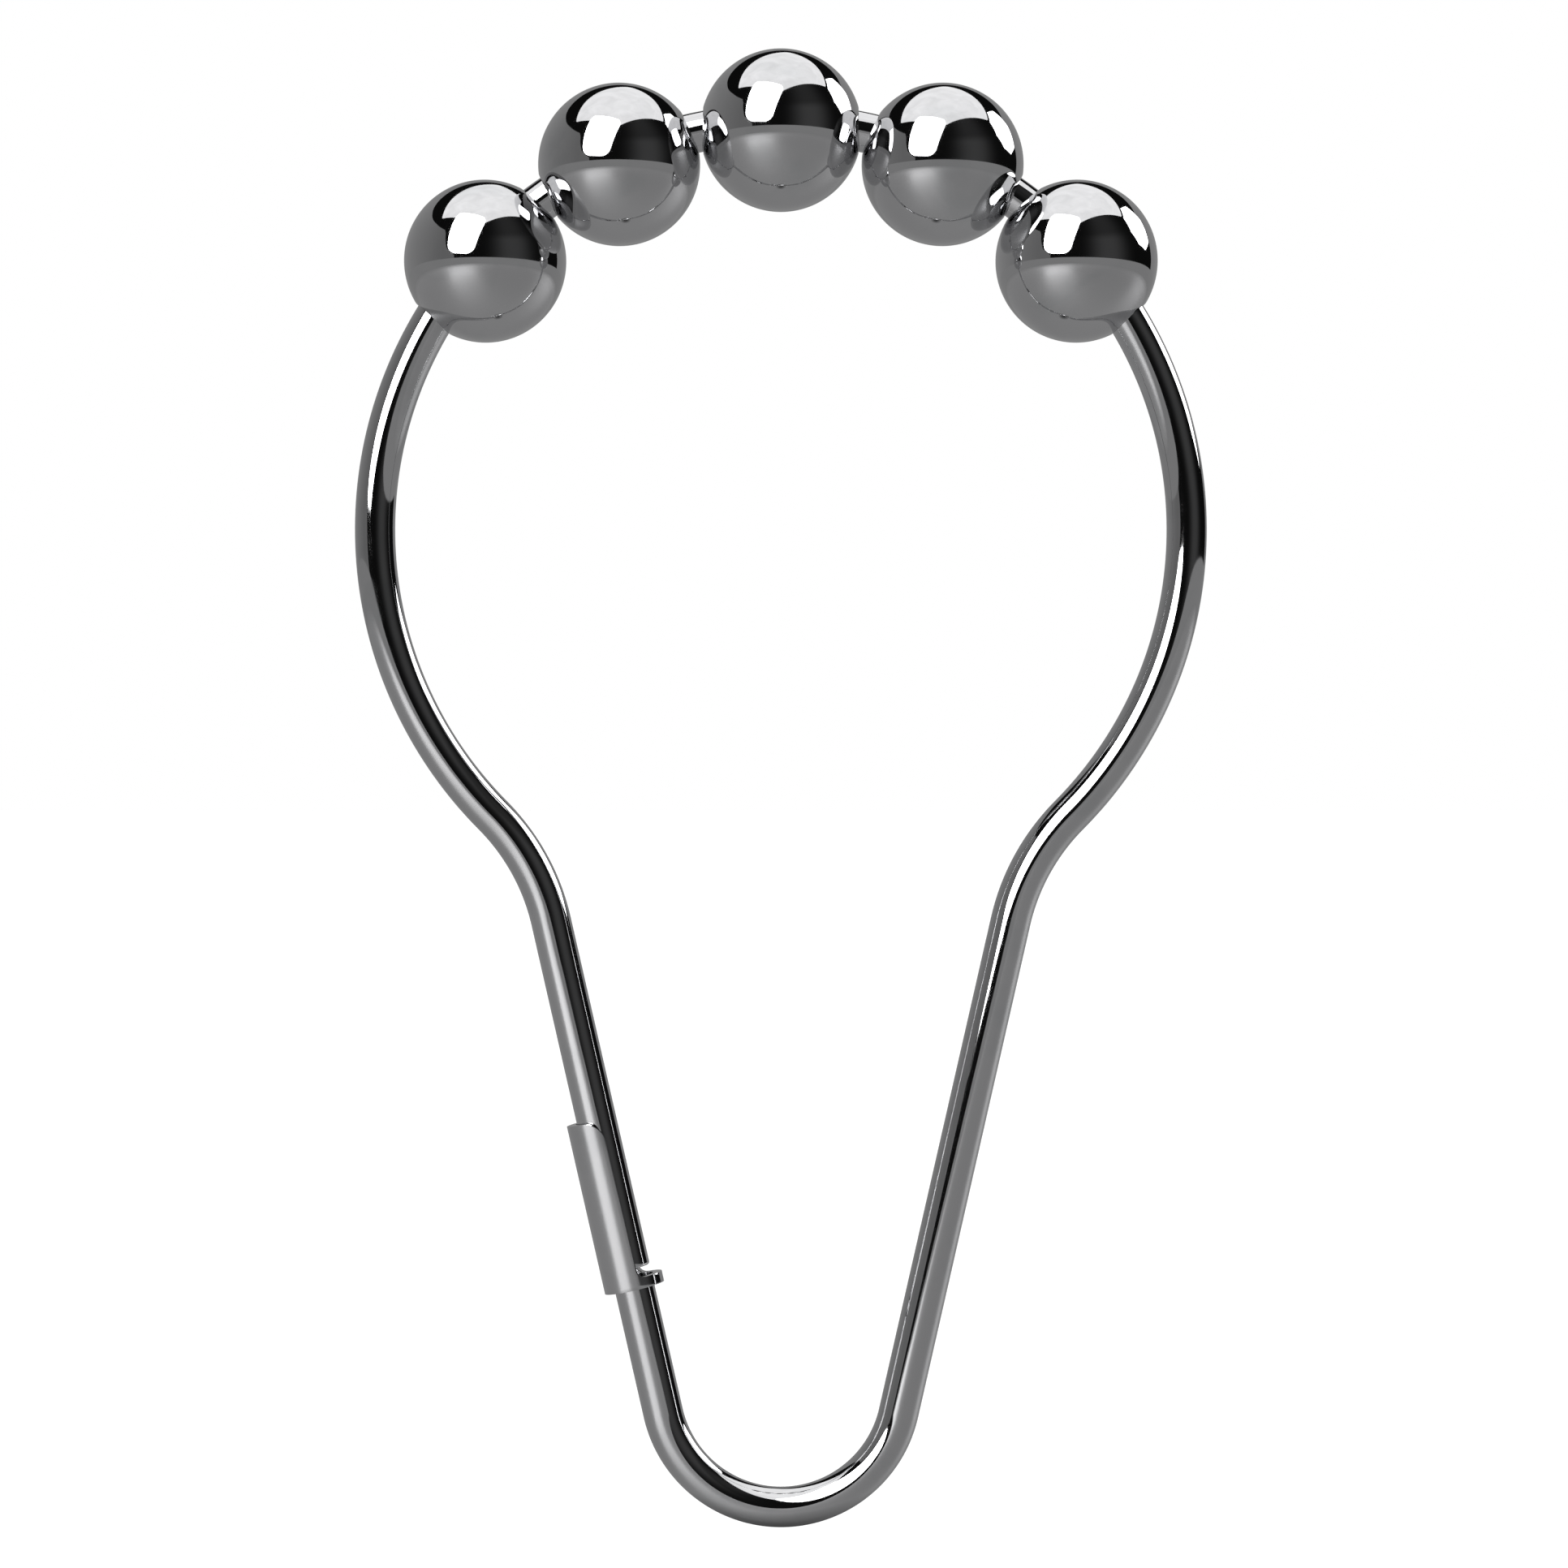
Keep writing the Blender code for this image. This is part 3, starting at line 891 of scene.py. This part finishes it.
table_top = bpy.data.materials.new("table_top")
table_top.use_nodes = True
tree = table_top.node_tree
paint = tree.nodes["Principled BSDF"]
place = tree.nodes.new("ShaderNodeTexCoord")
away = add_node(
    tree, "ShaderNodeVectorMath", links={"Vector": place.outputs["Object"]}, operation="LENGTH"
).outputs["Value"]
duller = ramp(tree, away, SATIN_RADIUS, DULL_RADIUS, SATIN_ROUGHNESS, DULL_ROUGHNESS)
tree.links.new(duller, paint.inputs["Roughness"])
paint.inputs["Base Color"].default_value = (0, 0, 0, 1)
paint.inputs["Emission Color"].default_value = (1, 1, 1, 1)
print("the satin's roughness runs from", SATIN_ROUGHNESS, "to", DULL_ROUGHNESS)

# %% [markdown]
# The bottom bend all but touches the table, and in the photograph it is darker underneath, where it sees
# its own contact shadow. The cards take no shadows, so that one is painted on the top as a soft dark spot.
# At the table's rim the satin fades into the hall's floor, so that no line crosses the balls.

# %% The contact shadow and the rim
TABLE_HEIGHT = -0.0728
TABLE_RADIUS = 0.45
TABLE_GREY = 0.255
FADE_RADIUS = 0.31
SHADOW_MIDDLE = (0, 3.2 * MM, TABLE_HEIGHT)
SHADOW_RADIUS = 7.4 * MM
SHADOW_CORE = 2.0 * MM
SHADOW_GREY = 0.03

off_shadow = add_node(
    tree, "ShaderNodeVectorMath",
    links={0: place.outputs["Object"]},
    values={1: SHADOW_MIDDLE},
    operation="DISTANCE",
).outputs["Value"]
shaded = ramp(tree, off_shadow, SHADOW_CORE, SHADOW_RADIUS, SHADOW_GREY, TABLE_GREY)
tree.links.new(shaded, paint.inputs["Emission Strength"])
bare = add_node(tree, "ShaderNodeEmission", values={"Strength": TABLE_GREY})
fading = add_node(
    tree, "ShaderNodeMixShader",
    links={
        "Fac": ramp(tree, away, FADE_RADIUS, TABLE_RADIUS),
        1: paint.outputs["BSDF"],
        2: bare.outputs["Emission"],
    },
)
tree.links.new(fading.outputs["Shader"], tree.nodes["Material Output"].inputs["Surface"])
table = bmesh.new()
bmesh.ops.create_circle(table, cap_ends=True, segments=128, radius=TABLE_RADIUS)
bmesh.ops.translate(table, verts=table.verts, vec=(0, 0, TABLE_HEIGHT))
stage_card("table", table, table_top)
print("table", TABLE_RADIUS, "m round")

# %% [markdown]
# ## The floor, the background and the camera
#
# The hook hangs in front of a plain white ground. The floor lies well below it and keeps its soft shadow:
# most of the floor's brightness is real light on pale paint, from the even white world and one soft sun,
# and a little glow, which only the camera and mirrors see, brings it up to white.

# %% The white floor
FLOOR_HEIGHT = -0.4
FLOOR_SIZE = 60
FLOOR_PALE = 0.8
FLOOR_ROUGHNESS = 0.9
FLOOR_GLOW = 0.26


def seen_directly(tree):
    """One for rays from the camera or off a mirror or through glass, and zero for the rest."""
    path = tree.nodes.new("ShaderNodeLightPath")
    glossy = math_node(tree, "MAXIMUM", path.outputs["Is Camera Ray"], path.outputs["Is Glossy Ray"])
    return math_node(tree, "MAXIMUM", glossy, path.outputs["Is Transmission Ray"])


floor_paint = bpy.data.materials.new("floor_paint")
floor_paint.use_nodes = True
tree = floor_paint.node_tree
paint = tree.nodes["Principled BSDF"]
paint.inputs["Base Color"].default_value = (FLOOR_PALE, FLOOR_PALE, FLOOR_PALE, 1)
paint.inputs["Roughness"].default_value = FLOOR_ROUGHNESS
paint.inputs["Specular IOR Level"].default_value = 0
paint.inputs["Emission Color"].default_value = (1, 1, 1, 1)
floor_glow = math_node(tree, "MULTIPLY", seen_directly(tree), FLOOR_GLOW)
tree.links.new(floor_glow, paint.inputs["Emission Strength"])

floor_shape = bmesh.new()
bmesh.ops.create_grid(floor_shape, x_segments=1, y_segments=1, size=FLOOR_SIZE)
bmesh.ops.translate(floor_shape, verts=floor_shape.verts, vec=(0, 0, FLOOR_HEIGHT))
floor = stage_card("floor", floor_shape, floor_paint)
floor.visible_camera = True
floor.visible_diffuse = True
floor.visible_shadow = True
floor.visible_glossy = False
print("floor at", FLOOR_HEIGHT, "m")

# %% [markdown]
# The world is white to the camera in the same way, and a little darker as a light. The sun adds the rest
# of the daylight from the upper left. Mirrors do not see it, so it puts no hot spot on the balls.

# %% The white world and the soft sun
DAYLIGHT = 0.6
SUN_SHARE = 0.45
SUN_WIDTH = 4

world = bpy.data.worlds.new("white")
world.use_nodes = True
bpy.context.scene.world = world
tree = world.node_tree
ground = tree.nodes["Background"]
ground.inputs["Color"].default_value = (1, 1, 1, 1)
world_strength = ramp(tree, seen_directly(tree), 0, 1, start_value=DAYLIGHT)
tree.links.new(world_strength, ground.inputs["Strength"])

sun = bpy.data.lights.new("soft_sun", "SUN")
sun.angle = math.radians(SUN_WIDTH)
sun_direction = toward(azimuth=-30, elevation=60)
sun.energy = SUN_SHARE * math.pi / sun_direction.z
soft_sun = bpy.data.objects.new("soft_sun", sun)
soft_sun.rotation_euler = sun_direction.to_track_quat("Z", "Y").to_euler()
soft_sun.visible_glossy = False
bpy.context.scene.collection.objects.link(soft_sun)
print("world", DAYLIGHT, "and sun", round(sun.energy, 2))

# %% [markdown]
# The photograph is taken square on, level with the middle of the hook. A 100 mm lens from 24 cm away gives
# the same slight perspective, and puts every lamp at the same place on all five balls, as in the
# photograph.

# %% The camera
FOCAL_LENGTH = 100
SENSOR_WIDTH = 36
CAMERA_PLACE = (0.171 * MM, -238.28 * MM, -31.327 * MM)

lens = bpy.data.cameras.new("camera")
lens.lens = FOCAL_LENGTH
lens.sensor_width = SENSOR_WIDTH
camera = bpy.data.objects.new("camera", lens)
camera.location = CAMERA_PLACE
camera.rotation_euler = (math.pi / 2, 0, 0)
bpy.context.scene.collection.objects.link(camera)
bpy.context.scene.camera = camera
bpy.context.scene.view_settings.view_transform = "Standard"
print("the camera sees", round(-CAMERA_PLACE[1] * SENSOR_WIDTH / FOCAL_LENGTH * 1000, 1), "mm at the hook")
